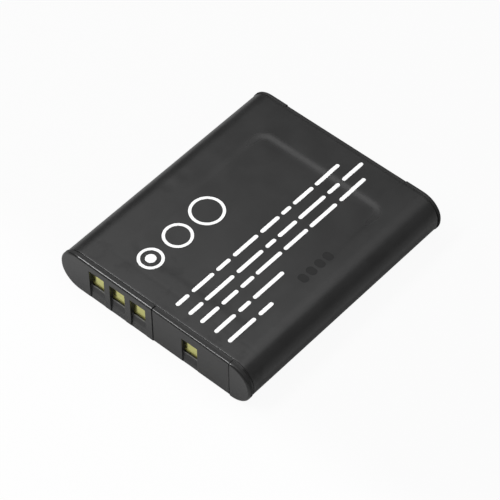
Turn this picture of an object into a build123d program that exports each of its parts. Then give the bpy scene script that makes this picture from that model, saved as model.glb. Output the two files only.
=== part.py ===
from build123d import *
import os

# A slim rechargeable camera battery, lying on its broad face with its contact end towards -Y.
# Two moulded end caps close a flat sealed cell, and a printed film is wrapped round all three.
# Millimetres. The origin lies under the middle of the body, on the surface that it rests on.

# Body
body_width = 34.4
body_length = 40.0
body_height = 7.0
side_flat = 0.3  # upright flat between the two quarter rounds of each long side

# Wrapped film label
film_thickness = 0.1
film_side_drop = 0.08  # the wrapped sides stand this far in from the ends of the caps
film_edge_gap = 0.14  # open line between the film's cut ends and the rims of the caps
film_seam_gap = 0.25  # open line underneath, where the film's two long edges meet
film_seam_from_side = 6.0

# Features that both caps share
rim_edge_radius = 0.32
rim_back_radius = 0.08
field_edge_radius = 0.3
groove_width = 0.14
groove_depth = 0.1
cap_tape_thickness = 0.15

# Contact-end cap
front_cap_depth = 4.0
front_rim_depth = 0.85
front_wall = 0.65  # from the cap's face to the contact plates behind its windows
front_field_setback = 0.07
front_field_from_group = 1.34  # from the last slot of the group to the field
front_field_from_side = 3.7
board_end_wall = 3.2
board_side_wall = 0.75
pocket_corner_radius = 0.4

# Contact slots: a group of three beside the field and a single one in it
group_slot_count = 3
slot_width = 2.75
slot_pitch = 3.8
first_slot_from_side = 6.82
single_slot_from_field = 6.57
ramp_foot_depth = 0.12  # depth at which the ramp below each window runs out at the bottom edge
sill_land = 0.25  # level part of each sill, in front of the contact plate
slot_edge_radius = 0.06
group_sill = 2.5
group_lintel = 1.35
single_sill = 2.1
single_lintel = 1.92

# Plain end cap
rear_cap_depth = 1.1
rear_rim_depth = 0.6
rear_field_setback = 0.07
rear_field_from_side = 6.4
rear_tape_margin = 1.1

# Cell: a drawn can with a welded lid
can_base_radius = 0.5
lid_weld_inset = 0.5
lid_weld_width = 0.15
lid_weld_depth = 0.08

# Cell terminal, riveted through the lid in a plastic gasket
gasket_length = 4.6
gasket_width = 2.8
gasket_thickness = 0.3
gasket_sleeve_radius = 1.0
gasket_sleeve_depth = 1.0
gasket_floor = 0.2  # closes the sleeve, so that the rivet stays off the can
rivet_length = 3.6
rivet_width = 2.0
rivet_thickness = 0.4
rivet_shank_radius = 0.65

# Filling hole, closed by a pressed plug
plug_radius = 0.7
plug_depth = 0.6
plug_height = 0.12
plug_from_middle = 4.6

# Insulating paper on the lid
paper_thickness = 0.2
paper_hole_clearance = 0.2

# Clad plate on the lid and the strip that joins it to the board
weld_pad_length = 4.4
weld_pad_width = 3.0
weld_pad_thickness = 0.25
weld_pad_from_middle = 8.6
strip_thickness = 0.15
strip_width = 2.4
strip_bend_radius = 0.2
strip_foot = 2.6  # length that lies on the clad plate
strip_end = 1.6  # length that lies on the board
strip_from_board_end = 0.4

# Thermal cut-off and its leads
cutoff_length = 4.4
cutoff_width = 2.8
cutoff_thickness = 0.8
cutoff_corner_radius = 0.2
cutoff_from_middle = 7.0
lead_thickness = 0.12
lead_width = 2.0
lead_overlap = 1.4  # length of lead that lies on the terminal

# Circuit board and contact plates
board_thickness = 0.7
board_clearance = 0.15
contact_thickness = 0.2
contact_side_overlap = 0.35
contact_top_overlap = 0.25

# Parts soldered to the back of the board
protection_chip_size = (1.6, 2.9, 0.9)
switch_chip_size = (3.0, 4.2, 0.9)
chip_leg_length = 0.5
chip_leg_width = 0.35
chip_leg_height = 0.3
chip_leg_pitch = 0.95
chip_standoff = 0.05
protection_chip_from_middle = 3.2
switch_chip_from_middle = 2.6
small_part_length = 1.0
small_part_width = 0.5
small_part_pitch = 1.1
resistor_height = 0.35
capacitor_height = 0.55
small_end_length = 0.25
small_end_step = 0.03
small_parts_from_middle = 7.2
small_parts_rise = 1.2
thermistor_length = 1.6
thermistor_width = 0.8
thermistor_height = 0.8
thermistor_from_middle = 7.4

# Places worked out from the sizes above
half_width = body_width / 2
front_y = -body_length / 2
rear_y = body_length / 2
mid_height = body_height / 2
side_radius = (body_height - side_flat) / 2

film_width = body_width - 2 * film_side_drop
core_width = film_width - 2 * film_thickness
core_height = body_height - 2 * film_thickness
core_radius = side_radius - film_thickness

front_rim_y = front_y + front_rim_depth
front_wall_y = front_y + front_wall
front_cap_end_y = front_y + front_cap_depth
lid_y = front_cap_end_y + cap_tape_thickness
rear_rim_y = rear_y - rear_rim_depth
rear_cap_end_y = rear_y - rear_cap_depth
can_base_y = rear_cap_end_y - cap_tape_thickness

first_slot_x = -half_width + first_slot_from_side
group_slots_x = [first_slot_x + i * slot_pitch for i in range(group_slot_count)]
front_field_left = group_slots_x[-1] + slot_width / 2 + front_field_from_group
front_field_right = half_width - front_field_from_side
single_slot_x = front_field_left + single_slot_from_field
rear_field_half = half_width - rear_field_from_side

pocket_width = core_width - 2 * board_end_wall
pocket_height = core_height - 2 * board_side_wall
board_width = pocket_width - 2 * board_clearance
board_height = pocket_height - 2 * board_clearance
board_bottom = mid_height - board_height / 2
board_front_y = front_wall_y + contact_thickness
board_back_y = board_front_y + board_thickness
board_to_lid = lid_y - board_back_y

group_top = body_height - group_lintel
single_top = body_height - single_lintel
field_face_y = front_y + front_field_setback
slots = [(x, group_sill, group_top, front_y) for x in group_slots_x]
slots.append((single_slot_x, single_sill, single_top, field_face_y))
contact_top = group_top + contact_top_overlap

beyond = body_length  # reach of a cut that runs right out of a piece
same_place = 0.001  # two places closer than this are the same


def across(y):
    """A plane across the body at this place along it, facing the contact end."""
    return Plane((0, y, mid_height), x_dir=(1, 0, 0), z_dir=(0, -1, 0))


def at_place(edges, axis, place):
    """Those of the edges whose middle is at this place along the axis."""
    return edges.filter_by_position(axis, place - same_place, place + same_place)


def stepped_field(face_y, inward, rim_depth, setback, left, right):
    """Lower the rim of a cap between left and right to a field, with a fine groove at each end."""
    middle = (left + right) / 2
    reach = right - left + 2 * groove_width
    with Locations((middle, face_y + inward * rim_depth / 2, mid_height)):
        Box(reach, rim_depth, 2 * body_height, mode=Mode.SUBTRACT)
    floor_depth = rim_depth - setback - groove_depth
    with Locations((middle, face_y + inward * (rim_depth - floor_depth / 2), mid_height)):
        Box(reach, floor_depth, core_height - 2 * groove_depth)
    back = face_y + inward * rim_depth
    face = face_y + inward * setback
    low = mid_height - core_height / 2
    high = mid_height + core_height / 2
    with BuildSketch(Plane.YZ.offset(left)) as field:
        with BuildLine():
            FilletPolyline((back, low), (face, low), (face, high), (back, high), radius=field_edge_radius)
            Line((back, high), (back, low))
        make_face()
    extrude(field.sketch, amount=right - left)


# Contact-end cap
with BuildPart() as front_cap:
    with BuildSketch(across(front_y)):
        RectangleRounded(body_width, body_height, side_radius)
    extrude(amount=-front_rim_depth)
    fillet(front_cap.faces().sort_by(Axis.Y)[0].edges(), rim_edge_radius)
    fillet(front_cap.faces().sort_by(Axis.Y)[-1].edges(), rim_back_radius)
    with BuildSketch(across(front_rim_y)):
        RectangleRounded(core_width, core_height, core_radius)
    extrude(amount=-(front_cap_depth - front_rim_depth))
    stepped_field(front_y, 1, front_rim_depth, front_field_setback, front_field_left, front_field_right)
    # Pocket for the board, open towards the cell
    with BuildSketch(across(front_wall_y)):
        RectangleRounded(pocket_width, pocket_height, pocket_corner_radius)
    extrude(amount=-beyond, mode=Mode.SUBTRACT)
    # Windows in front of the contacts, each with a ramp from its sill down to the bottom edge
    for slot_x, sill, top, face_y in slots:
        outside = front_y - front_wall
        ramp_foot = face_y + ramp_foot_depth
        with BuildSketch(Plane.YZ.offset(slot_x)) as slot:
            with BuildLine():
                Polyline(
                    (outside, top),
                    (front_wall_y, top),
                    (front_wall_y, sill),
                    (front_wall_y - sill_land, sill),
                    (ramp_foot, 0),
                    (ramp_foot, -front_wall),
                    (outside, -front_wall),
                    close=True,
                )
            make_face()
        extrude(slot.sketch, amount=slot_width / 2, both=True, mode=Mode.SUBTRACT)
    # Softened edges: the ends of the two blocks, and the sides and lintel of each slot
    inner_reach = half_width - 2 * rim_edge_radius
    uprights = front_cap.edges().filter_by(Axis.Z).filter_by_position(Axis.X, -inner_reach, inner_reach)
    softened = at_place(uprights, Axis.Y, front_y)
    for slot_x, sill, top, face_y in slots:
        levels = at_place(front_cap.edges().filter_by(Axis.X), Axis.X, slot_x)
        softened += at_place(at_place(levels, Axis.Y, face_y), Axis.Z, top)
    for side in (-1, 1):
        jamb = at_place(uprights, Axis.X, single_slot_x + side * slot_width / 2)
        softened += at_place(jamb, Axis.Y, field_face_y)
    fillet(softened, slot_edge_radius)

# Plain end cap
with BuildPart() as rear_cap:
    with BuildSketch(across(rear_y)):
        RectangleRounded(body_width, body_height, side_radius)
    extrude(amount=rear_rim_depth)
    fillet(rear_cap.faces().sort_by(Axis.Y)[-1].edges(), rim_edge_radius)
    fillet(rear_cap.faces().sort_by(Axis.Y)[0].edges(), rim_back_radius)
    with BuildSketch(across(rear_rim_y)):
        RectangleRounded(core_width, core_height, core_radius)
    extrude(amount=rear_cap_depth - rear_rim_depth)
    stepped_field(rear_y, -1, rear_rim_depth, rear_field_setback, -rear_field_half, rear_field_half)

# Film label, wrapped once round and meeting itself underneath
with BuildPart() as label_film:
    with BuildSketch(across(front_rim_y + film_edge_gap)):
        RectangleRounded(film_width, body_height, side_radius)
        RectangleRounded(core_width, core_height, core_radius, mode=Mode.SUBTRACT)
        with Locations((-half_width + film_seam_from_side, -mid_height)):
            Rectangle(film_seam_gap, body_height, mode=Mode.SUBTRACT)
    extrude(amount=-(rear_rim_y - front_rim_y - 2 * film_edge_gap))

# Sealed cell can with its lid welded in
with BuildPart() as cell_can:
    with BuildSketch(across(lid_y)):
        RectangleRounded(core_width, core_height, core_radius)
    extrude(amount=-(can_base_y - lid_y))
    fillet(cell_can.faces().sort_by(Axis.Y)[-1].edges(), can_base_radius)
    weld_outer = 2 * lid_weld_inset
    weld_inner = 2 * (lid_weld_inset + lid_weld_width)
    with BuildSketch(across(lid_y)):
        RectangleRounded(core_width - weld_outer, core_height - weld_outer, core_radius - weld_outer / 2)
        RectangleRounded(
            core_width - weld_inner,
            core_height - weld_inner,
            core_radius - weld_inner / 2,
            mode=Mode.SUBTRACT,
        )
    extrude(amount=-lid_weld_depth, mode=Mode.SUBTRACT)
    with BuildSketch(across(lid_y)):
        Circle(gasket_sleeve_radius)
    extrude(amount=-gasket_sleeve_depth, mode=Mode.SUBTRACT)
    with BuildSketch(across(lid_y)):
        with Locations((plug_from_middle, 0)):
            Circle(plug_radius)
    extrude(amount=-plug_depth, mode=Mode.SUBTRACT)

# Gasket that keeps the terminal off the lid
rivet_face_y = lid_y - gasket_thickness
rivet_shank_length = gasket_thickness + gasket_sleeve_depth - gasket_floor
with BuildPart() as terminal_gasket:
    with BuildSketch(across(lid_y)):
        SlotOverall(gasket_length, gasket_width)
    extrude(amount=gasket_thickness)
    with BuildSketch(across(lid_y)):
        Circle(gasket_sleeve_radius)
    extrude(amount=-gasket_sleeve_depth)
    with BuildSketch(across(rivet_face_y)):
        Circle(rivet_shank_radius)
    extrude(amount=-rivet_shank_length, mode=Mode.SUBTRACT)

# Terminal rivet
with BuildPart() as terminal_rivet:
    with BuildSketch(across(rivet_face_y)):
        SlotOverall(rivet_length, rivet_width)
    extrude(amount=rivet_thickness)
    with BuildSketch(across(rivet_face_y)):
        Circle(rivet_shank_radius)
    extrude(amount=-rivet_shank_length)

# Plug pressed into the filling hole
with BuildPart() as fill_plug:
    with BuildSketch(across(lid_y - plug_height)):
        with Locations((plug_from_middle, 0)):
            Circle(plug_radius)
    extrude(amount=-(plug_height + plug_depth))

# Insulating paper, cut out round what stands on the lid
hole = 2 * paper_hole_clearance
with BuildPart() as lid_paper:
    with BuildSketch(across(lid_y)):
        RectangleRounded(board_width, board_height, pocket_corner_radius)
        SlotOverall(gasket_length + hole, gasket_width + hole, mode=Mode.SUBTRACT)
        with Locations((plug_from_middle, 0)):
            Circle(plug_radius + paper_hole_clearance, mode=Mode.SUBTRACT)
        with Locations((weld_pad_from_middle, 0)):
            Rectangle(weld_pad_length + hole, weld_pad_width + hole, mode=Mode.SUBTRACT)
    extrude(amount=paper_thickness)

# Clad plate welded to the lid, which is the other pole of the cell
with BuildPart() as weld_pad:
    with BuildSketch(across(lid_y)):
        with Locations((weld_pad_from_middle, 0)):
            Rectangle(weld_pad_length, weld_pad_width)
    extrude(amount=weld_pad_thickness)


def bent_strip(points, thickness, width):
    """A flat strip bent along points (distance across, distance in front of the lid), level in Z."""
    with BuildPart() as strip:
        with BuildSketch(Plane.XY.offset(mid_height - width / 2)):
            with BuildLine():
                FilletPolyline(*[(x, lid_y - rise) for x, rise in points], radius=strip_bend_radius)
                offset(amount=thickness, side=Side.RIGHT)
            make_face()
        extrude(amount=width)
    return strip.part


board_end = board_width / 2 - strip_from_board_end

# Strip from the clad plate up to the back of the board, lying flat on both
strip_bend_x = board_end - strip_end
strip_part = bent_strip(
    [
        (weld_pad_from_middle + weld_pad_length / 2 - strip_foot, weld_pad_thickness),
        (strip_bend_x, weld_pad_thickness),
        (strip_bend_x, board_to_lid - strip_thickness),
        (board_end, board_to_lid - strip_thickness),
    ],
    strip_thickness,
    strip_width,
)

# Thermal cut-off, lying on the paper
terminal_rise = gasket_thickness + rivet_thickness
with BuildPart() as thermal_cutoff:
    with BuildSketch(across(lid_y - paper_thickness)):
        with Locations((-cutoff_from_middle, 0)):
            RectangleRounded(cutoff_length, cutoff_width, cutoff_corner_radius)
    extrude(amount=cutoff_thickness)

# Lead from the cut-off over the terminal
cutoff_right = -cutoff_from_middle + cutoff_length / 2
lead_length = -rivet_length / 2 + lead_overlap - cutoff_right
with BuildPart() as terminal_lead:
    with BuildSketch(across(lid_y - terminal_rise)):
        with Locations((cutoff_right + lead_length / 2, 0)):
            Rectangle(lead_length, lead_width)
    extrude(amount=lead_thickness)

# Lead from the cut-off to the back of the board
cutoff_left = -cutoff_from_middle - cutoff_length / 2
lead_bend_x = -board_end + strip_end
board_lead_part = bent_strip(
    [
        (-board_end, board_to_lid - lead_thickness),
        (lead_bend_x, board_to_lid - lead_thickness),
        (lead_bend_x, terminal_rise),
        (cutoff_left, terminal_rise),
    ],
    lead_thickness,
    lead_width,
)

# Circuit board
with BuildPart() as circuit_board:
    with BuildSketch(across(board_front_y)):
        RectangleRounded(board_width, board_height, pocket_corner_radius)
    extrude(amount=-board_thickness)

# Gold-faced contact plates, soldered to the front of the board behind the windows
contact_width = slot_width + 2 * contact_side_overlap
contact_parts = []
for slot_x, sill, top, face_y in slots:
    with BuildPart() as contact:
        with BuildSketch(across(front_wall_y)):
            with Locations((slot_x, (board_bottom + contact_top) / 2 - mid_height)):
                Rectangle(contact_width, contact_top - board_bottom)
        extrude(amount=-contact_thickness)
    contact_parts.append(contact.part)


def legged_chip(size, middle_x, leg_pairs):
    """A small moulded chip on the back of the board, with legs along its two upright sides."""
    width, height, thickness = size
    body_y = board_back_y + chip_standoff + (thickness - chip_standoff) / 2
    legs_y = board_back_y + chip_leg_height / 2
    lowest_leg_z = mid_height - (leg_pairs - 1) / 2 * chip_leg_pitch
    with BuildPart() as chip:
        with Locations((middle_x, body_y, mid_height)):
            Box(width, thickness - chip_standoff, height)
        with Locations(*[(middle_x, legs_y, lowest_leg_z + i * chip_leg_pitch) for i in range(leg_pairs)]):
            Box(width + 2 * chip_leg_length, chip_leg_height, chip_leg_width)
    return chip.part


protection_chip_part = legged_chip(protection_chip_size, -protection_chip_from_middle, 3)
switch_chip_part = legged_chip(switch_chip_size, switch_chip_from_middle, 4)


def small_parts(length, width, height, places):
    """Soldered blocks with slightly proud metal ends, on the back of the board."""
    with BuildPart() as blocks:
        for x, z in places:
            with Locations((x, board_back_y + height / 2, z)):
                Box(width - 2 * small_end_step, height, length)
            for end in (-1, 1):
                with Locations((x, board_back_y + height / 2, z + end * (length - small_end_length) / 2)):
                    Box(width, height, small_end_length)
    return blocks.part


def row_of(count, middle_x, z):
    """Places of a row of small parts."""
    return [(middle_x + (i - (count - 1) / 2) * small_part_pitch, z) for i in range(count)]


resistor_parts = small_parts(
    small_part_length,
    small_part_width,
    resistor_height,
    row_of(3, small_parts_from_middle, mid_height + small_parts_rise),
)
capacitor_parts = small_parts(
    small_part_length,
    small_part_width,
    capacitor_height,
    row_of(2, small_parts_from_middle, mid_height - small_parts_rise),
)
thermistor_part = small_parts(
    thermistor_length,
    thermistor_width,
    thermistor_height,
    [(-thermistor_from_middle, mid_height)],
)

# Tape between the contact-end cap and the lid, one pad on each side of the pocket
tape_parts = []
for side in (-1, 1):
    with BuildPart() as cap_tape:
        with BuildSketch(across(front_cap_end_y)):
            RectangleRounded(core_width - weld_outer, core_height - weld_outer, core_radius - weld_outer / 2)
            with Locations((-side * half_width, 0)):
                Rectangle(body_width + pocket_width, body_height, mode=Mode.SUBTRACT)
        extrude(amount=-cap_tape_thickness)
    tape_parts.append(cap_tape.part)

# Tape between the base of the can and the plain end cap
with BuildPart() as rear_tape:
    with BuildSketch(across(can_base_y)):
        RectangleRounded(
            core_width - 2 * rear_tape_margin,
            core_height - 2 * rear_tape_margin,
            core_radius - rear_tape_margin,
        )
    extrude(amount=-cap_tape_thickness)

pieces = {
    "front_cap": front_cap.part,
    "rear_cap": rear_cap.part,
    "label_film": label_film.part,
    "cell_can": cell_can.part,
    "terminal_gasket": terminal_gasket.part,
    "terminal_rivet": terminal_rivet.part,
    "fill_plug": fill_plug.part,
    "lid_paper": lid_paper.part,
    "weld_pad": weld_pad.part,
    "board_strip": strip_part,
    "thermal_cutoff": thermal_cutoff.part,
    "terminal_lead": terminal_lead.part,
    "board_lead": board_lead_part,
    "circuit_board": circuit_board.part,
    "protection_chip": protection_chip_part,
    "switch_chip": switch_chip_part,
    "resistors": resistor_parts,
    "capacitors": capacitor_parts,
    "thermistor": thermistor_part,
    "cap_tape_left": tape_parts[0],
    "cap_tape_right": tape_parts[1],
    "rear_tape": rear_tape.part,
}
for number, contact_part in enumerate(contact_parts, start=1):
    pieces[f"contact_{number}"] = contact_part

os.makedirs("parts", exist_ok=True)
for name, piece in pieces.items():
    piece.label = name
    export_step(piece, f"parts/{name}.step")
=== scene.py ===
# %% [markdown]
# # A slim camera battery
# A camera battery is a flat sealed cell with a moulded cap at each end, and a thin film wrapped round all
# three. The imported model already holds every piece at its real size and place. This lesson dresses it: each
# piece gets the finish of its real material, and the film, which lies softer than CAD draws it, is made
# again in mesh code. All sizes are written in millimetres, unless a line says otherwise.

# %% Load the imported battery
import math
import random

import bmesh
import bpy
from mathutils import Matrix, Vector


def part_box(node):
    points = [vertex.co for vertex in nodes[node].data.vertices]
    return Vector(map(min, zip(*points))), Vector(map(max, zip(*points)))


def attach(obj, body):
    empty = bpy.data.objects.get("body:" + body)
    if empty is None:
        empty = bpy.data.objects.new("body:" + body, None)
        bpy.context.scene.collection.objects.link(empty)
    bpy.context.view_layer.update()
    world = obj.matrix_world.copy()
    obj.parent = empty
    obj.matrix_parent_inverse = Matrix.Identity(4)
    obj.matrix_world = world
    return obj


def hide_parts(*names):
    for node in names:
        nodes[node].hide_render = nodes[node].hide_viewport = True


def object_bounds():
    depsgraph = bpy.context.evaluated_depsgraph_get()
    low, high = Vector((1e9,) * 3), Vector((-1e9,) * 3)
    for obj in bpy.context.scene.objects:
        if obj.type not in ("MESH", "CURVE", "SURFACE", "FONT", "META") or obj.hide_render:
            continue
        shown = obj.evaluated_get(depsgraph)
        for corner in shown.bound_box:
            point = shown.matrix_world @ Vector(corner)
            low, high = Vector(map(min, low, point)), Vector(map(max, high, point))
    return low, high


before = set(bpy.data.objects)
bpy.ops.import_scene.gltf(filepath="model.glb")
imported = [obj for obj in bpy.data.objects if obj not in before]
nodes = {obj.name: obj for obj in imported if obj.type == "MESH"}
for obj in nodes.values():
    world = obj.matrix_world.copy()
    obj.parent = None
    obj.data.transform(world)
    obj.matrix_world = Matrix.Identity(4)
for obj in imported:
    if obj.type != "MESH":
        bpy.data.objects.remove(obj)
cad_box = [list(corner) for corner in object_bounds()]
MM = 0.001
print("packed pieces:", len(nodes))


# %% [markdown]
# ## Sums on surfaces
# Real surfaces change from place to place: a film is a little cloudy, a mould leaves grain, a finger leaves
# a rub. In Blender such changes are worked out by shader nodes. Adding every Math node by hand hides the
# idea behind plumbing, so one small class wraps a node's output and lets us write plain sums with it.

# %% A wire that can be used in sums
class Wire:
    """One output of a shader node. Sums on it add the Math nodes that work them out."""

    def __init__(self, socket):
        self.socket = socket

    def node(self, kind, settings=None, sockets=None, out=0):
        """Add any other node: settings are set first, then sockets are given values or links."""
        tree = self.socket.id_data
        made = tree.nodes.new(kind)
        for name, value in (settings or {}).items():
            setattr(made, name, value)
        for name, value in (sockets or {}).items():
            if isinstance(value, Wire):
                tree.links.new(value.socket, made.inputs[name])
            else:
                made.inputs[name].default_value = value
        return Wire(made.outputs[out])

    def math(self, operation, first, second=0.0):
        """Add a Math node for one operation."""
        return self.node("ShaderNodeMath", {"operation": operation}, {0: first, 1: second})

    def __add__(self, other):
        return self.math("ADD", self, other)

    def __radd__(self, other):
        return self.math("ADD", other, self)

    def __sub__(self, other):
        return self.math("SUBTRACT", self, other)

    def __rsub__(self, other):
        return self.math("SUBTRACT", other, self)

    def __mul__(self, other):
        return self.math("MULTIPLY", self, other)

    def __rmul__(self, other):
        return self.math("MULTIPLY", other, self)

    def __abs__(self):
        return self.math("ABSOLUTE", self)


print("sums on wires are ready")


# %% Words for starting and feeding a finish
def start_finish(name, fixed):
    """A new finish. Values that are the same all over go straight onto the shader's own sockets."""
    finish = bpy.data.materials.new(name)
    finish.use_nodes = True
    shader = finish.node_tree.nodes["Principled BSDF"]
    for socket, value in fixed.items():
        shader.inputs[socket].default_value = value
    coordinates = finish.node_tree.nodes.new("ShaderNodeTexCoord")
    metres = Wire(coordinates.outputs["Object"])
    place = metres.node("ShaderNodeVectorMath", {"operation": "SCALE"}, {0: metres, "Scale": 1 / MM})
    return finish, place


def feed(finish, **wires):
    """Link wires to the shader: base_color=... goes to the socket called Base Color."""
    shader = finish.node_tree.nodes["Principled BSDF"]
    for name, wire in wires.items():
        socket = shader.inputs[name.replace("_", " ").title()]
        finish.node_tree.links.new(wire.socket, socket)


def colour(red, green, blue):
    """An opaque colour."""
    return (red, green, blue, 1.0)


def grey(level):
    """An opaque grey."""
    return colour(level, level, level)


print("finishes can be started and fed")


# %% Words for what changes over a surface
MIX_FIRST_COLOUR = 6
MIX_SECOND_COLOUR = 7
MIX_COLOUR_OUT = 2


def along(place, axis):
    """One coordinate of a place."""
    return place.node("ShaderNodeSeparateXYZ", None, {0: place}, out="XYZ".index(axis))


def distance_from(place, point):
    """Distance of a place from a point."""
    ends = {0: place, 1: point}
    return place.node("ShaderNodeVectorMath", {"operation": "DISTANCE"}, ends, out="Value")


def grain(place, size, detail=2.0):
    """Soft random values from 0 to 1 with lumps of this size, one number or one for each direction."""
    if isinstance(size, tuple):
        scale = tuple(1 / s for s in size)
        place = place.node("ShaderNodeVectorMath", {"operation": "MULTIPLY"}, {0: place, 1: scale})
        size = 1.0
    return place.node("ShaderNodeTexNoise", None, {"Vector": place, "Scale": 1 / size, "Detail": detail})


def step(value, low, high):
    """0 below low and 1 above high, with a smooth rise between them."""
    ends = {"Value": value, "From Min": low, "From Max": high}
    return value.node("ShaderNodeMapRange", {"interpolation_type": "SMOOTHSTEP"}, ends)


def between(value, low, high, blur):
    """1 between low and high and 0 outside, with ends that are soft by this blur each way."""
    return step(value, low - blur, low + blur) * (1 - step(value, high - blur, high + blur))


def tint(mask, first, second):
    """A colour that goes from first to second as the mask goes from 0 to 1."""
    ends = {0: mask, MIX_FIRST_COLOUR: first, MIX_SECOND_COLOUR: second}
    return mask.node("ShaderNodeMix", {"data_type": "RGBA"}, ends, out=MIX_COLOUR_OUT)


def relief(height, depth):
    """A normal that raises the surface by this depth where the height is 1."""
    return height.node("ShaderNodeBump", None, {"Height": height, "Distance": depth * MM})


print("surface words are ready")


# %% [markdown]
# ## The black film
# The wrapper is a satin black plastic film. It is never quite even: it clouds a little where the glue under
# it is thicker, handling leaves faint rubs along the length, and fingers leave smudges near the contact
# end. The cell below has a sunken panel. Where the film bends over the panel's far edge it is smoother, and a
# painted sheen makes it a little paler there. All this could be painted on an image, but soft random values
# need no image and stay fine from close by. They change how sharply the film mirrors the light more than its
# colour, so most of the work is in the roughness.

# %% Where the film carries a painted sheen, along the panel's edge
PANEL_MIDDLE = (0.85, 0.0)
PANEL_HALF = (11.05, 13.65)
PANEL_CORNER = 1.8


def panel_edge(place):
    """Distance from the rounded edge of the cell's panel, as a wire: less than 0 inside."""
    over_x = abs(along(place, "X") - PANEL_MIDDLE[0]) - (PANEL_HALF[0] - PANEL_CORNER)
    over_y = abs(along(place, "Y") - PANEL_MIDDLE[1]) - (PANEL_HALF[1] - PANEL_CORNER)
    past_x = over_x.math("MAXIMUM", over_x, 0.0)
    past_y = over_y.math("MAXIMUM", over_y, 0.0)
    corner = past_x.math("SQRT", past_x * past_x + past_y * past_y)
    middle = over_x.math("MINIMUM", over_x.math("MAXIMUM", over_x, over_y), 0.0)
    return corner + middle - PANEL_CORNER


print("panel of", 2 * PANEL_HALF[0], "by", 2 * PANEL_HALF[1])


# %% Finish of the film
FILM_BLACK = (grey(0.0125), grey(0.0165))
SMUDGED_BLACK = grey(0.009)
PAINTED_SHEEN_BLACK = grey(0.022)
CLOUD_SIZE = 4.0
RUB_SIZE = (0.5, 9.0, 0.5)
SMUDGE_SIZE = 2.0
FILM_TOOTH_SIZE = 0.11
FILM_TOOTH_DEPTH = 0.0016
SHEEN_INSIDE = 0.1
SHEEN_FADE = (0.25, 0.85)
FAR_END_FADE = (8.0, 13.0)
TOP_FACE_FADE = (6.0, 6.5)
CONTACT_END_FADE = (-15.0, -6.0)

film_finish, place = start_finish("satin_black_film", {"IOR": 1.47})
lengthwise = along(place, "Y")
# Painted sheen: just inside the panel's far edge on the top face the film is painted paler, and it is also
# smoother there.
painted_sheen = 1 - step(abs(panel_edge(place) + SHEEN_INSIDE), *SHEEN_FADE)
painted_sheen = painted_sheen * step(lengthwise, *FAR_END_FADE) * step(along(place, "Z"), *TOP_FACE_FADE)
clouds = grain(place, CLOUD_SIZE, detail=5.0)
rubs = grain(place, RUB_SIZE, detail=3.0)
smudges = step(grain(place, SMUDGE_SIZE, detail=3.0), 0.54, 0.68)
smudges = smudges * (1 - step(lengthwise, *CONTACT_END_FADE))
black = tint(step(clouds, 0.3, 0.7), *FILM_BLACK)
black = tint(smudges, black, SMUDGED_BLACK)
feed(
    film_finish,
    base_color=tint(painted_sheen, black, PAINTED_SHEEN_BLACK),
    roughness=0.25 + 0.06 * clouds + 0.06 * rubs + 0.05 * smudges - 0.07 * painted_sheen,
    normal=relief(grain(place, FILM_TOOTH_SIZE), FILM_TOOTH_DEPTH),
)
print("finish:", film_finish.name)


# %% [markdown]
# ## The cap plastic
# Both caps are moulded in black plastic. The end blocks of each cap come from a polished part of the mould
# and mirror the room quite sharply, and the lower field between them comes from a spark-eroded part, which
# leaves a fine matt grain. Behind the rounded front edge, the rim and the walls of the windows come from
# cores that are never polished. The ramps below the windows are a little paler, and a pale line along the
# front edge of each sill is a painted highlight. Each of these could be a finish of
# its own on its own faces, but the imported meshes stay as they are, so masks on the place tell them apart.

# %% Where the contact end is paler: the ramps, and a painted highlight along each sill
GROUP_SILL = 2.5
SINGLE_SILL = 2.1
GROUP_TO_SINGLE = (1.0, 2.0)
SILL_EDGE = -19.6
RAMPS_LEFT = -12.05
RAMPS_RIGHT = 8.25
RAMP_BLUR = 0.05
RAMP_TOP_FADE = (0.0, 0.1)
RAMP_FOOT_FADE = (-0.32, -0.26)
# The fade and the palest grey below paint a highlight along the front edge of each sill; the other grey makes
# the ramps paler.
SILL_HIGHLIGHT_FADE = (0.05, 0.13)
PALER_RAMP_BLACK = grey(0.038)
SILL_HIGHLIGHT_BLACK = grey(0.15)


def under_sill(place):
    """How far a place lies under the sill of its window, as a wire: the single window's sill is lower."""
    sill = GROUP_SILL + (SINGLE_SILL - GROUP_SILL) * step(along(place, "X"), *GROUP_TO_SINGLE)
    return sill - along(place, "Z")


def ramps_and_sill_highlight(place, black):
    """This black, but paler on the ramps, and palest along the front edge of each sill, where it is a painted
    highlight.
    """
    under = under_sill(place)
    behind = along(place, "Y") - SILL_EDGE
    from_edge = under.math("SQRT", under * under + behind * behind)
    # Painted highlight: a pale line along the front edge of each sill.
    painted_sill_highlight = 1 - step(from_edge, *SILL_HIGHLIGHT_FADE)
    on_ramp = step(under, *RAMP_TOP_FADE) * (1 - step(behind, 0.0, RAMP_BLUR))
    on_ramp = on_ramp * step(behind, *RAMP_FOOT_FADE)
    on_ramp = on_ramp * between(along(place, "X"), RAMPS_LEFT, RAMPS_RIGHT, RAMP_BLUR)
    return tint(painted_sill_highlight, tint(on_ramp, black, PALER_RAMP_BLACK), SILL_HIGHLIGHT_BLACK)


print("sills", GROUP_SILL, "and", SINGLE_SILL, "above the table")


# %% Finish of the caps
CAP_BLACK = (grey(0.011), grey(0.016))
FRONT_FIELD = (-0.13, 13.57)
REAR_FIELD = (-10.87, 10.87)
FIELD_BLUR = 0.05
FIELD_TOP_FADE = (6.5, 6.7)
CORE_STARTS = (0.2, 0.32)
CORE_ENDS = (0.66, 0.7)
PATCH_SIZE = 3.0
MOULD_GRAIN_SIZE = 0.07
MOULD_GRAIN_DEPTH = 0.0016
body_end = cad_box[1][1] / MM


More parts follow.
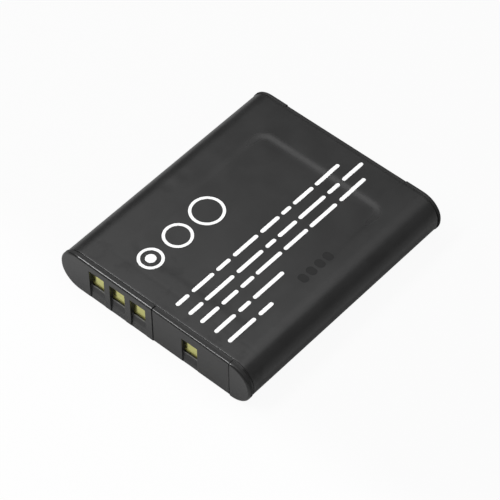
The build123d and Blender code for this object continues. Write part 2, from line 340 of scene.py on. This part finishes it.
def cap_finish(name, field, paints_sill_highlight=False):
    """Moulded black plastic, more matt between the two ends of the cap's field and where cores leave it."""
    finish, place = start_finish(name, {"IOR": 1.39})
    in_field = between(along(place, "X"), *field, FIELD_BLUR)
    in_field = in_field * (1 - step(along(place, "Z"), *FIELD_TOP_FADE))
    from_end = body_end - abs(along(place, "Y"))
    from_core = step(from_end, *CORE_STARTS) * (1 - step(from_end, *CORE_ENDS))
    patches = grain(place, PATCH_SIZE, detail=3.0)
    mould_grain = grain(place, MOULD_GRAIN_SIZE)
    black = tint(patches, *CAP_BLACK)
    feed(
        finish,
        base_color=ramps_and_sill_highlight(place, black) if paints_sill_highlight else black,
        roughness=0.18 + 0.05 * patches + 0.12 * in_field + 0.45 * from_core,
        normal=relief(mould_grain * (0.3 + 0.9 * in_field), MOULD_GRAIN_DEPTH),
    )
    return finish


def dress(node, finish):
    """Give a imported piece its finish."""
    nodes[node].data.materials[0] = finish
    print(node, "wears", finish.name)


dress("front_cap", cap_finish("front_cap_plastic", FRONT_FIELD, paints_sill_highlight=True))
dress("rear_cap", cap_finish("rear_cap_plastic", REAR_FIELD))


# %% [markdown]
# ## The gold contacts
# Each contact is a plate with a thin gold face. The camera's sprung pins press on it and wipe a little as
# the battery goes in, so the middle of each plate carries a smoother, brighter stripe with fine upright
# lines. The pins never reach the foot of a plate, just above the sill; it is rougher there, and its colour is
# darkened as painted shade. A yellow plastic would look flat here. Gold is a metal, so its colour is given to
# what it mirrors.

# %% Finish of the contacts
GOLD = (colour(0.58, 0.565, 0.17), colour(0.70, 0.70, 0.26))
SHADED_GOLD = colour(0.36, 0.345, 0.10)
STAIN_SIZE = 0.9
WIPE_FADE = (0.3, 0.75)
WIPE_LINE_SIZE = (0.05, 0.05, 1.6)
WIPE_LINE_DEPTH = 0.0004
FOOT_FADE = (-1.0, -0.2)
CONTACTS = 4


def span(node):
    """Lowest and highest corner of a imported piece, in millimetres."""
    low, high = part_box(node)
    return low / MM, high / MM


def gold_finish(name, node):
    """Gold plate with a wiped stripe down its middle, and a rough foot darkened as painted shade."""
    finish, place = start_finish(name, {"Metallic": 1.0})
    low, high = span(node)
    from_middle = abs(along(place, "X") - (low.x + high.x) / 2)
    wiped = 1 - step(from_middle, *WIPE_FADE)
    stain = grain(place, STAIN_SIZE, detail=3.0)
    lines = grain(place, WIPE_LINE_SIZE)
    # Painted shade: the foot just above the sill is darkened, and it is also rougher.
    shaded_foot = step(under_sill(place), *FOOT_FADE)
    feed(
        finish,
        base_color=tint(shaded_foot, tint(stain, *GOLD), SHADED_GOLD),
        roughness=0.14 - 0.05 * wiped + 0.08 * stain + 0.25 * shaded_foot,
        normal=relief(lines * (0.3 + wiped), WIPE_LINE_DEPTH),
    )
    return finish


for number in range(1, CONTACTS + 1):
    dress(f"contact_{number}", gold_finish(f"contact_gold_{number}", f"contact_{number}"))


# %% [markdown]
# ## Metal inside
# Under the film sits the sealed cell, a can drawn from aluminium, and in front of its lid lie the nickel
# strips that carry the current. Nobody sees them until the battery is opened, and plain grey would do until
# then, but a library part may be cut open or shown in layers, so each gets its own finish. Drawn and rolled
# metal carries fine lines in the direction in which it was pulled, and a spot weld leaves a dull ring, so
# one function makes both.

# %% Finish of the drawn and rolled metal
ALUMINIUM = (colour(0.74, 0.74, 0.75), colour(0.86, 0.86, 0.87))
NICKEL = (colour(0.58, 0.55, 0.50), colour(0.72, 0.69, 0.63))
ALONG_CAN = (0.06, 14.0, 0.06)
ALONG_STRIP = (9.0, 0.05, 0.05)
PRESSED = (0.15, 0.15, 0.15)
ALONG_RIVET = (0.12, 0.5, 0.12)
METAL_STAIN_SIZE = 2.5
METAL_RELIEF = 0.02
WELD_RADIUS = 0.26
WELD_FADE = (0.05, 0.16)


def metal_finish(name, shades, line_size, roughness, welds=()):
    """Metal with fine lines of this size, and dull sunken rings at the welds."""
    finish, place = start_finish(name, {"Metallic": 1.0})
    lines = grain(place, line_size, detail=3.0)
    stain = grain(place, METAL_STAIN_SIZE, detail=3.0)
    welded = 0.0
    for weld in welds:
        welded = welded + (1 - step(abs(distance_from(place, weld) - WELD_RADIUS), *WELD_FADE))
    feed(
        finish,
        base_color=tint(stain, *shades),
        roughness=roughness + 0.14 * lines + 0.06 * stain + 0.2 * welded,
        normal=relief(0.12 * lines - welded, METAL_RELIEF),
    )
    return finish


dress("cell_can", metal_finish("drawn_aluminium", ALUMINIUM, ALONG_CAN, 0.22))
dress("fill_plug", metal_finish("pressed_aluminium", ALUMINIUM, PRESSED, 0.30))
dress("terminal_rivet", metal_finish("rivet_nickel", NICKEL, ALONG_RIVET, 0.24))
dress("weld_pad", metal_finish("clad_plate_nickel", NICKEL, ALONG_STRIP, 0.28))


# %% Strips with their welds
STRIP_ROUGHNESS = 0.22
STRIP_THICKNESS = 0.15
LEAD_THICKNESS = 0.12


def welds_at(face, places):
    """Weld centres on a face at this depth, from their places across and up."""
    return [(x, face, z) for x, z in places]


def strip_finish(name, welds):
    """Rolled nickel strip with its welds."""
    return metal_finish(name, NICKEL, ALONG_STRIP, STRIP_ROUGHNESS, welds)


lead_face = span("terminal_lead")[0].y
strip_face = span("board_strip")[1].y - STRIP_THICKNESS
cutoff_face = span("board_lead")[1].y - LEAD_THICKNESS
lead_welds = welds_at(lead_face, [(-1.1, 3.05), (-1.1, 3.95), (-4.4, 3.5)])
strip_welds = welds_at(strip_face, [(x, z) for x in (8.9, 10.2) for z in (2.95, 4.05)])
cutoff_welds = welds_at(cutoff_face, [(-9.6, 3.5)])
dress("terminal_lead", strip_finish("lead_nickel", lead_welds))
dress("board_strip", strip_finish("strip_nickel", strip_welds))
dress("board_lead", strip_finish("board_lead_nickel", cutoff_welds))


# %% [markdown]
# ## Plastic, paper and tape inside
# The pole stands in a pale moulded gasket, and the thermal cut-off has a dark moulded case. Stiff paper
# insulates the lid and pads of tissue tape hold the caps. Moulded plastic is mottled with a fine tooth.
# Paper and tissue are mats of fibres. Fibre by fibre they would take a million faces, so two stretched
# grains, one lying across and one upright, stand for the fibres.

# %% Finish of the moulded insulators
GASKET_SHADES = (grey(0.58), colour(0.72, 0.72, 0.68))
CASE_SHADES = (grey(0.018), grey(0.034))
MOTTLE_SIZE = 0.8
INSULATOR_TOOTH_SIZE = 0.05
INSULATOR_TOOTH_DEPTH = 0.003


def moulded_finish(name, shades, roughness):
    """Plain moulded plastic with a soft mottle and a fine tooth."""
    finish, place = start_finish(name, {"IOR": 1.5})
    mottle = grain(place, MOTTLE_SIZE, detail=3.0)
    feed(
        finish,
        base_color=tint(mottle, *shades),
        roughness=roughness + 0.15 * mottle,
        normal=relief(grain(place, INSULATOR_TOOTH_SIZE), INSULATOR_TOOTH_DEPTH),
    )
    return finish


dress("terminal_gasket", moulded_finish("gasket_plastic", GASKET_SHADES, 0.38))
dress("thermal_cutoff", moulded_finish("cutoff_case", CASE_SHADES, 0.34))


# %% Finish of the paper and the tape
PAPER_SHADES = (colour(0.075, 0.13, 0.11), colour(0.15, 0.23, 0.19))
TAPE_SHADES = (colour(0.52, 0.50, 0.44), colour(0.76, 0.74, 0.68))
FIBRES_ACROSS = (1.2, 0.07, 0.07)
FIBRES_UPRIGHT = (0.07, 0.07, 1.2)
FIBRE_DEPTH = 0.012


def fibre_finish(name, shades):
    """A mat of fibres that lie across and upright."""
    finish, place = start_finish(name, {"IOR": 1.45})
    across = grain(place, FIBRES_ACROSS, detail=4.0)
    upright = grain(place, FIBRES_UPRIGHT, detail=4.0)
    fibres = 0.5 * across + 0.5 * upright
    feed(
        finish,
        base_color=tint(step(fibres, 0.3, 0.7), *shades),
        roughness=0.6 + 0.3 * fibres,
        normal=relief(fibres, FIBRE_DEPTH),
    )
    return finish


dress("lid_paper", fibre_finish("barley_paper", PAPER_SHADES))
tape_finish = fibre_finish("tissue_tape", TAPE_SHADES)
for tape in ("cap_tape_left", "cap_tape_right", "rear_tape"):
    dress(tape, tape_finish)


# %% [markdown]
# ## The circuit board
# The board is glass laminate under green lacquer. Copper tracks raise the lacquer and make it paler, tinned
# pads are left bare where the strips are soldered, and the cut edge shows the pale tan laminate. Tracks
# could be thin solids, but they are flatter than a hair. They are plain rectangles, so a mask of a few
# boxes draws them, and the same mask lifts them a little.

# %% Tracks and pads of the board
TRACK_BLUR = 0.03
TRACKS = (
    (-7.4, -4.2, 4.20, 4.50),
    (-7.4, -4.2, 2.50, 2.80),
    (-2.2, 0.8, 4.80, 5.10),
    (-2.2, 0.8, 3.35, 3.65),
    (-2.2, 0.8, 1.85, 2.15),
    (4.4, 7.2, 4.55, 4.85),
    (4.4, 7.2, 2.15, 2.45),
    (7.9, 12.0, 3.20, 3.80),
    (-12.0, -7.0, 3.20, 3.80),
)
PADS = ((11.5, 13.35, 2.15, 4.85), (-13.35, -11.5, 2.35, 4.65))


def boxes(place, areas):
    """1 inside any of these areas, each given as left, right, low and high."""
    across = along(place, "X")
    upright = along(place, "Z")
    mask = None
    for left, right, low, high in areas:
        out_x = abs(across - (left + right) / 2) - (right - left) / 2
        out_z = abs(upright - (low + high) / 2) - (high - low) / 2
        area = 1 - step(out_x.math("MAXIMUM", out_x, out_z), -TRACK_BLUR, TRACK_BLUR)
        mask = area if mask is None else area.math("MAXIMUM", mask, area)
    return mask


print("tracks:", len(TRACKS), "pads:", len(PADS))


# %% Finish of the board
LACQUER = colour(0.012, 0.10, 0.035)
LACQUER_ON_COPPER = colour(0.035, 0.20, 0.06)
TINNED_PAD = colour(0.72, 0.71, 0.68)
LAMINATE = (colour(0.42, 0.36, 0.20), colour(0.60, 0.53, 0.33))
WEAVE_SIZE = (0.5, 0.5, 0.12)
LACQUER_THICKNESS = 0.035
LACQUER_BLUR = 0.015
TRACK_HEIGHT = 0.02

board_finish, place = start_finish("green_board", {"IOR": 1.5})
board_low, board_high = span("circuit_board")
weave = grain(place, WEAVE_SIZE)
tracks = boxes(place, TRACKS)
pads = boxes(place, PADS)
edge_front = board_low.y + LACQUER_THICKNESS
edge_back = board_high.y - LACQUER_THICKNESS
edge = between(along(place, "Y"), edge_front, edge_back, LACQUER_BLUR)
face = tint(pads, tint(tracks, LACQUER, LACQUER_ON_COPPER), TINNED_PAD)
feed(
    board_finish,
    base_color=tint(edge, face, tint(weave, *LAMINATE)),
    metallic=pads * (1 - edge),
    roughness=0.28 + 0.1 * weave + 0.3 * edge,
    normal=relief(tracks + 0.1 * weave, TRACK_HEIGHT),
)
dress("circuit_board", board_finish)


# %% [markdown]
# ## Soldered parts
# The chips are moulded in black resin with tinned legs along both sides, and a round dimple marks the first
# leg. The smallest parts are ceramic bricks with a tinned cap at each end. Body and tin could be separate
# pieces, but each part is packed as one, so a mask on the distance from its middle tells them apart.

# %% Finish of the soldered parts
TIN = colour(0.74, 0.72, 0.68)
TIN_BLUR = 0.01
RESIN_MOTTLE_SIZE = 0.3
RESIN_TOOTH_SIZE = 0.03
DIMPLE_FADE = (0.16, 0.22)
DIMPLE_DEPTH = 0.03


def tinned_finish(name, axis, middle, tin_from, shades, dimple=None):
    """A body that turns to tin further than this from its middle, with a round dimple where one is given."""
    finish, place = start_finish(name, {"IOR": 1.52})
    tinned = step(abs(along(place, axis) - middle), tin_from - TIN_BLUR, tin_from + TIN_BLUR)
    mottle = grain(place, RESIN_MOTTLE_SIZE, detail=3.0)
    height = 0.1 * grain(place, RESIN_TOOTH_SIZE)
    if dimple:
        height = height + step(distance_from(place, dimple), *DIMPLE_FADE)
    feed(
        finish,
        base_color=tint(tinned, tint(mottle, *shades), TIN),
        metallic=tinned,
        roughness=0.5 - 0.2 * tinned + 0.15 * mottle,
        normal=relief(height, DIMPLE_DEPTH),
    )
    return finish


print("tin starts within", TIN_BLUR, "of its line")


# %% Chips and bricks
RESIN_SHADES = (grey(0.018), grey(0.032))
RESISTOR_SHADES = (grey(0.02), grey(0.05))
CAPACITOR_SHADES = (colour(0.30, 0.20, 0.12), colour(0.42, 0.30, 0.19))
THERMISTOR_SHADES = (colour(0.05, 0.07, 0.10), colour(0.09, 0.12, 0.16))
DIMPLE_FROM_SIDE = 0.4
DIMPLE_FROM_TOP = 0.45
TIN_CAP = 0.25


def chip_finish(node, body_half):
    """Black resin chip whose legs stand out past half its body."""
    low, high = span(node)
    middle = (low.x + high.x) / 2
    dimple = (middle - body_half + DIMPLE_FROM_SIDE, high.y, high.z - DIMPLE_FROM_TOP)
    return tinned_finish(f"{node}_resin", "X", middle, body_half, RESIN_SHADES, dimple)


def brick_finish(node, shades):
    """Ceramic bricks that end in tinned caps."""
    low, high = span(node)
    half = (high.z - low.z) / 2
    return tinned_finish(f"{node}_ceramic", "Z", (low.z + high.z) / 2, half - TIN_CAP, shades)


dress("protection_chip", chip_finish("protection_chip", 0.8))
dress("switch_chip", chip_finish("switch_chip", 1.5))
dress("resistors", brick_finish("resistors", RESISTOR_SHADES))
dress("capacitors", brick_finish("capacitors", CAPACITOR_SHADES))
dress("thermistor", brick_finish("thermistor", THERMISTOR_SHADES))


# %% [markdown]
# ## The wrapped film
# The film is one sheet wrapped round the battery, with its two long edges meeting underneath. CAD draws it
# as an even tube. On the real thing it follows what lies below: the cell's broad face is pressed in a
# little, so a shallow panel with rounded corners shows through, a faint line shows where the skirt of the
# contact cap ends, and two small hollows lie near the long edge on the left. Bump in the finish could fake
# that, but it would be lost in the exported shape. So we make a fine grid round the section and sink each
# point by a small amount, and the studio light draws the soft edges by itself.

# %% Sizes of the film
film_low, film_high = span("label_film")
FILM_THICKNESS = 0.1
FILM_REST = 0.018
SEAM_X = -11.2
SEAM_GAP = 0.05
ROUND = 3.35
PANEL_SLOPE = 1.3
PANEL_DEPTH = 0.058
PANEL_NEAR_SHARE = 0.45
FAR_END_FROM = -6.0
FAR_END_REACH = 16.0
TROUGH_DEPTH = 0.008
TROUGH_INSIDE = 1.0
TROUGH_HALF = 1.2
SKIRT_END = -16.0
SKIRT_LINE_DEPTH = 0.007
SKIRT_LINE_HALF = 0.35
HOLLOWS = ((-13.3, 0.6), (-13.4, -2.4))
HOLLOW_REACH = (1.7, 1.4)
HOLLOW_DEPTH = 0.018
RIPPLES = 14
RIPPLE_LENGTH = (5.0, 14.0)
RIPPLE_DEPTH = 0.0011
SINK_RANGE = (0.012, 0.09)
print("film from", [round(v, 2) for v in film_low], "to", [round(v, 2) for v in film_high])


# %% How far the film sinks at each place
rng = random.Random(7)
ripples = []
for _ in range(RIPPLES):
    angle = rng.uniform(0, math.pi)
    length = rng.uniform(*RIPPLE_LENGTH)
    ripples.append((math.cos(angle) / length, math.sin(angle) / length, rng.uniform(0, 1)))


def smooth(value):
    """Smooth rise from 0 at 0 to 1 at 1."""
    value = min(1.0, max(0.0, value))
    return value * value * (3 - 2 * value)


def hollow(x, y, middle):
    """A soft round hollow: 1 in the middle, nothing past its reach in x and y."""
    far = math.hypot((x - middle[0]) / HOLLOW_REACH[0], (y - middle[1]) / HOLLOW_REACH[1])
    return 1 - smooth(far)


def inside_panel(x, y):
    """Distance from the rounded edge of the cell's sunken panel, more inside."""
    over_x = abs(x - PANEL_MIDDLE[0]) - (PANEL_HALF[0] - PANEL_CORNER)
    over_y = abs(y - PANEL_MIDDLE[1]) - (PANEL_HALF[1] - PANEL_CORNER)
    outside = math.hypot(max(over_x, 0), max(over_y, 0))
    return PANEL_CORNER - outside - min(max(over_x, over_y), 0)


def film_sink(x, y):
    """How far the film lies under the battery's top at this place."""
    wave = sum(math.sin(2 * math.pi * (x * a + y * b + c)) for a, b, c in ripples)
    sink = FILM_REST + RIPPLE_DEPTH * wave
    inside = inside_panel(x, y)
    far_end = smooth((y - FAR_END_FROM) / FAR_END_REACH)
    panel_share = PANEL_NEAR_SHARE + (1 - PANEL_NEAR_SHARE) * far_end
    sink += PANEL_DEPTH * panel_share * smooth(inside / PANEL_SLOPE + 0.5)
    sink += TROUGH_DEPTH * far_end * (1 - smooth(abs(inside - TROUGH_INSIDE) / TROUGH_HALF))
    sink += SKIRT_LINE_DEPTH * (1 - smooth(abs(y - SKIRT_END) / SKIRT_LINE_HALF))
    for middle in HOLLOWS:
        sink += HOLLOW_DEPTH * hollow(x, y, middle)
    return min(SINK_RANGE[1], max(SINK_RANGE[0], sink))


print("film sinks", round(film_sink(0, 0), 3), "in the middle")


# %% The section that the film is wrapped round
FLAT_SPACING = 0.25
UNDER_SPACING = 0.6
SIDE_SPACING = 0.3
TURN_POINTS = 18


def section():
    """Points round the section from one side of the seam to the other: x, z and the outward direction."""
    flat = film_high.x - ROUND
    tall = film_high.z - ROUND
    ring = []

    def run(start, end, spacing, out):
        count = max(1, round(math.dist(start, end) / spacing))
        for i in range(count):
            t = i / count
            ring.append((start[0] + (end[0] - start[0]) * t, start[1] + (end[1] - start[1]) * t, *out))

    def turn(middle, first):
        for i in range(TURN_POINTS):
            angle = math.radians(first + 90 * i / TURN_POINTS)
            out = (math.cos(angle), math.sin(angle))
            ring.append((middle[0] + ROUND * out[0], middle[1] + ROUND * out[1], *out))

    seam_right = SEAM_X + SEAM_GAP / 2
    seam_left = SEAM_X - SEAM_GAP / 2
    run((seam_right, 0), (flat, 0), UNDER_SPACING, (0, -1))
    turn((flat, ROUND), -90)
    run((film_high.x, ROUND), (film_high.x, tall), SIDE_SPACING, (1, 0))
    turn((flat, tall), 0)
    run((flat, film_high.z), (-flat, film_high.z), FLAT_SPACING, (0, 1))
    turn((-flat, tall), 90)
    run((-film_high.x, tall), (-film_high.x, ROUND), SIDE_SPACING, (-1, 0))
    turn((-flat, ROUND), 180)
    run((-flat, 0), (seam_left, 0), UNDER_SPACING, (0, -1))
    ring.append((seam_left, 0, 0, -1))
    return ring


ring = section()
print("points round the film:", len(ring))


# %% Sections along the film, with softened cuts
EDGE_ROUNDING = ((0.0, 0.05), (0.012, 0.022), (0.035, 0.006), (0.07, 0.0))
FRONT_SKEW = 0.006
SKEW_REACH = 6.0
film_length = film_high.y - film_low.y
steps = round(film_length / FLAT_SPACING)
stations = [(film_low.y + gap, drop) for gap, drop in EDGE_ROUNDING]
stations += [(film_low.y + film_length * i / steps, 0.0) for i in range(1, steps)]
stations += [(film_high.y - gap, drop) for gap, drop in reversed(EDGE_ROUNDING)]


def cut_skew(x, y):
    """The front cut isn't quite square: how far a point near it lies from a square cut."""
    return FRONT_SKEW * x * (1 - smooth((y - film_low.y) / SKEW_REACH))


print("sections along the film:", len(stations))


# %% Build the film as a closed sheet
SHARP_ANGLE = math.radians(40)
SINK_POWER = 4


def make_piece(name, points, faces, finish):
    """A mesh from points in millimetres, with its finish, riding on the battery."""
    mesh = bpy.data.meshes.new(name)
    mesh.from_pydata([Vector(p) * MM for p in points], [], faces)
    piece = bpy.data.objects.new(name, mesh)
    bpy.context.scene.collection.objects.link(piece)
    shape = bmesh.new()
    shape.from_mesh(mesh)
    bmesh.ops.recalc_face_normals(shape, faces=shape.faces)
    shape.to_mesh(mesh)
    shape.free()
    mesh.shade_smooth()
    mesh.set_sharp_from_angle(angle=SHARP_ANGLE)
    mesh.materials.append(finish)
    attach(piece, "root")
    print("made", name, "with", len(mesh.polygons), "faces")
    return piece


points = []
for y, drop in stations:
    for x, z, out_x, out_z in ring:
        sink = FILM_REST + drop
        if out_z != 0:
            sink += (film_sink(x, y) - FILM_REST) * out_z ** SINK_POWER
        points.append((x - out_x * sink, y + cut_skew(x, y), z - out_z * sink))
first_inner = len(points)
for y in (film_low.y, film_high.y):
    for x, z, out_x, out_z in ring:
        points.append((x - out_x * FILM_THICKNESS, y + cut_skew(x, y), z - out_z * FILM_THICKNESS))

around = len(ring)
faces = []
for row in range(len(stations) - 1):
    for i in range(around - 1):
        here = row * around + i
        there = here + around
        faces.append((here, here + 1, there + 1, there))
last = first_inner - around
for i in range(around - 1):
    near = first_inner + i
    far = near + around
    faces.append((near, far, far + 1, near + 1))
    faces.append((i, near, near + 1, i + 1))
    faces.append((last + i, last + i + 1, far + 1, far))
rows = range(len(stations))
end = around - 1
faces.append([row * around for row in rows] + [first_inner + around, first_inner])
faces.append([row * around + end for row in rows] + [first_inner + around + end, first_inner + end])

film = make_piece("film_wrap", points, faces, film_finish)
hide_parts("label_film")
dress("label_film", film_finish)


# %% [markdown]
# ## Ink on the film
# The film is decorated in two inks: rows of plain white bars of uneven length and three plain rings, and a
# row of dark blocks. Ink could be a mask in the film's finish, but it is a layer of its own, with its own
# colour and dullness and a small height. So each shape is a thin closed strip that follows the film.

# %% Strips of ink
INK_HEIGHT = 0.01
INK_ROOT = 0.006
STRANDS = 4
BAR_SPACING = 0.4
BAR_END_ANGLES = (12, 35, 60, 90)


def ink_strip(rows, closed, points, faces):
    """Add a closed strip of ink. Each row is a pair of places, left and right, on the film."""
    start = len(points)
    for left, right in rows:
        for height in (INK_HEIGHT, -INK_ROOT):
            for i in range(STRANDS):
                t = i / (STRANDS - 1)
                x = left[0] + (right[0] - left[0]) * t
                y = left[1] + (right[1] - left[1]) * t
                points.append((x, y, film_high.z - film_sink(x, y) + height))
    size = 2 * STRANDS
    loop = list(range(STRANDS)) + list(range(size - 1, STRANDS - 1, -1))
    count = len(rows)
    for row in range(count if closed else count - 1):
        here = start + row * size
        there = start + (row + 1) % count * size
        for i in range(size):
            j = (i + 1) % size
            faces.append((here + loop[i], here + loop[j], there + loop[j], there + loop[i]))
    if not closed:
        faces.append([start + k for k in loop])
        faces.append([start + (count - 1) * size + k for k in loop])


def ink_bar(x, low, high, width, points, faces):
    """A bar with rounded ends along the battery, from low to high."""
    radius = min(width, high - low) / 2
    ends = [radius * (1 - math.cos(math.radians(a))) for a in BAR_END_ANGLES]
    inner = high - low - 2 * radius
    count = max(1, round(inner / BAR_SPACING))
    places = [low + e for e in ends]
    places += [low + radius + inner * i / count for i in range(1, count)]
    places += [high - e for e in reversed(ends)]
    rows = []
    for y in places:
        gap = max(0.0, radius - min(y - low, high - y))
        half = width / 2 - radius + math.sqrt(max(0.0, radius ** 2 - gap ** 2))
        rows.append(((x - half, y), (x + half, y)))
    ink_strip(rows, False, points, faces)


print("ink is", INK_HEIGHT, "high")


# %% Finish of the inks
WHITE_INK = (grey(0.74), grey(0.84))
DARK_INK = (grey(0.004), grey(0.008))
THIN_SPOT_SIZE = 0.35
INK_TOOTH_SIZE = 0.06
BLOT_SIZE = 0.3
INK_RELIEF = 0.002

ink_finish, place = start_finish("white_ink", {"IOR": 1.45})
thin_spots = grain(place, THIN_SPOT_SIZE, detail=3.0)
ink_tooth = grain(place, INK_TOOTH_SIZE)
feed(
    ink_finish,
    base_color=tint(step(thin_spots, 0.35, 0.7), *WHITE_INK),
    roughness=0.45 + 0.2 * ink_tooth,
    normal=relief(ink_tooth, INK_RELIEF),
)
stamp_finish, place = start_finish("dark_stamp_ink", {"IOR": 1.4})
blots = grain(place, BLOT_SIZE, detail=3.0)
feed(
    stamp_finish,
    base_color=tint(blots, *DARK_INK),
    roughness=0.55 + 0.25 * blots,
    normal=relief(blots, INK_RELIEF),
)
print("inks:", ink_finish.name, stamp_finish.name)


# %% Rows of plain bars
ROW_START = -17.3
ROWS = ((1.9, 16.0), (4.2, 18.4), (6.3, 16.4), (8.8, -3.6), (11.2, -8.5))
BAR_WIDTH = 0.6
BAR_LENGTH = (1.8, 5.6)
BAR_GAP = (0.55, 0.8)
SHORTEST_BAR = 2.4
SHORTEST_REST = 1.0
rng = random.Random(21)
points, faces = [], []
for row_x, row_end in ROWS:
    y = ROW_START
    while y < row_end - SHORTEST_REST:
        bar = rng.uniform(*BAR_LENGTH)
        if row_end - y - bar < SHORTEST_BAR:
            bar = row_end - y
        ink_bar(row_x, y, y + bar, BAR_WIDTH, points, faces)
        y += bar + rng.uniform(*BAR_GAP)
make_piece("print_rows", points, faces, ink_finish)


# %% Three plain rings
RING_X = -6.2
RING_WIDTH = 0.45
RING_POINTS = 96
RINGS = ((-13.6, 1.9), (-8.2, 2.2), (-2.3, 2.6))
DOT = (-14.4, -12.8)
DOT_WIDTH = 1.6


def ink_ring(y, radius, points, faces):
    """A plain ring of even width."""
    middle = Vector((RING_X, y))
    rows = []
    for i in range(RING_POINTS):
        angle = 2 * math.pi * i / RING_POINTS
        out = Vector((math.cos(angle), math.sin(angle)))
        rim = middle + out * radius
        rows.append((rim - out * RING_WIDTH, rim))
    ink_strip(rows, True, points, faces)


points, faces = [], []
ink_ring(*RINGS[0], points, faces)
ink_bar(RING_X, *DOT, DOT_WIDTH, points, faces)
ink_ring(*RINGS[1], points, faces)
ink_ring(*RINGS[2], points, faces)
make_piece("print_marks", points, faces, ink_finish)


# %% A row of dark blocks
BLOCK_X = 11.5
BLOCK_STARTS = (-3.3, -1.6, 0.1, 1.8)
BLOCK_LENGTH = 1.3
BLOCK_WIDTH = 1.7
points, faces = [], []
for y in BLOCK_STARTS:
    ink_bar(BLOCK_X, y, y + BLOCK_LENGTH, BLOCK_WIDTH, points, faces)
make_piece("print_stamp", points, faces, stamp_finish)


# %% [markdown]
# ## Floor, light and camera
# The battery lies on a plain white table. A table bright enough to look white would also flood the black
# sides with light, so the camera sees a white floor and the battery mirrors a greyer one, which is paler in
# front, where the contact end looks. Two soft lamps hang above: a narrow one at the front left draws the
# bright line along the cap's rounded edge, and a wide one gives the broad face its even sheen. The room is
# dim, and darker to the left. A short lens close by would make the near corner swell, so the camera stands
# well back at the front right and looks down through a long one.

# %% Floor
FLOOR_RADIUS_IN_METRES = 3.0
FLOOR_POINTS = 96
FLOOR_DROP = 0.02
TABLE_BESIDE = grey(0.34)
TABLE_IN_FRONT = grey(0.58)
FRONT_FADE = (-24.0, -13.0)
SPECKLE_SIZE = 0.8
WHITE_SEEN = 0.94
WHITE_MIRRORED = 0.06

bpy.ops.mesh.primitive_circle_add(
    vertices=FLOOR_POINTS,
    radius=FLOOR_RADIUS_IN_METRES,
    fill_type="NGON",
)
floor = bpy.context.object
floor.name = "table_top"
floor.location.z = -FLOOR_DROP * MM
floor_finish, place = start_finish("white_table", {"Roughness": 0.9})
in_front = 1 - step(along(place, "Y") + grain(place, SPECKLE_SIZE), *FRONT_FADE)
feed(floor_finish, base_color=tint(in_front, TABLE_BESIDE, TABLE_IN_FRONT))
tree = floor_finish.node_tree
rays = tree.nodes.new("ShaderNodeLightPath")
by_camera = Wire(rays.outputs["Is Camera Ray"])
in_mirror = Wire(rays.outputs["Is Glossy Ray"])
through_glass = Wire(rays.outputs["Is Transmission Ray"])
seen = WHITE_SEEN * by_camera + WHITE_MIRRORED * in_mirror + WHITE_SEEN * through_glass
white = seen.node("ShaderNodeEmission", None, {"Strength": 1.0})
table = Wire(tree.nodes["Principled BSDF"].outputs[0])
lifted = seen.node("ShaderNodeMixShader", None, {0: seen, 1: table, 2: white})
tree.links.new(lifted.socket, tree.nodes["Material Output"].inputs["Surface"])
floor.data.materials.append(floor_finish)
print("floor:", floor.name)


# %% Lamps and room
def soft_lamp(name, place, size, power):
    """A flat soft lamp that faces straight down: its place and size in metres, its power in watts."""
    lamp = bpy.data.lights.new(name, "AREA")
    lamp.shape = "RECTANGLE"
    lamp.size, lamp.size_y = size
    lamp.energy = power
    stand = bpy.data.objects.new(name, lamp)
    bpy.context.scene.collection.objects.link(stand)
    stand.location = place
    print("lamp:", name)


WALLS = (grey(0.09), grey(0.28))
WALL_FADE = (-0.7, 0.5)
soft_lamp("lamp_above_left", place=(-0.27, -0.27, 0.52), size=(0.16, 0.4), power=4.5)
soft_lamp("wide_lamp_behind", place=(-0.17, 0.09, 0.55), size=(0.96, 0.44), power=2.3)
room = bpy.data.worlds.new("dim_room")
room.use_nodes = True
looking = Wire(room.node_tree.nodes.new("ShaderNodeTexCoord").outputs["Generated"])
walls = tint(step(along(looking, "X"), *WALL_FADE), *WALLS)
room.node_tree.links.new(walls.socket, room.node_tree.nodes["Background"].inputs["Color"])
bpy.context.scene.world = room
bpy.context.scene.view_settings.view_transform = "Standard"


# %% Camera
AZIMUTH = math.radians(42.11)
ELEVATION = math.radians(50.12)
ROLL = math.radians(-0.70)
DISTANCE = 350.0
TARGET = Vector((0.445, -0.993, 2.634))
LENS_LENGTH = 183.62
SENSOR_WIDTH = 36.0
NEAREST_IN_METRES = 0.01
back = Vector((
    math.sin(AZIMUTH) * math.cos(ELEVATION),
    -math.cos(AZIMUTH) * math.cos(ELEVATION),
    math.sin(ELEVATION),
))
right = Vector((math.cos(AZIMUTH), math.sin(AZIMUTH), 0.0))
up = back.cross(right)
side = right * math.cos(ROLL) + up * math.sin(ROLL)
top = up * math.cos(ROLL) - right * math.sin(ROLL)
lens = bpy.data.cameras.new("camera")
lens.lens = LENS_LENGTH
lens.sensor_width = SENSOR_WIDTH
lens.clip_start = NEAREST_IN_METRES
camera = bpy.data.objects.new("camera", lens)
bpy.context.scene.collection.objects.link(camera)
aim = Matrix((side, top, back)).transposed()
camera.matrix_world = Matrix.Translation((TARGET + back * DISTANCE) * MM) @ aim.to_4x4()
bpy.context.scene.camera = camera
print("camera at", [round(v, 4) for v in camera.matrix_world.translation])
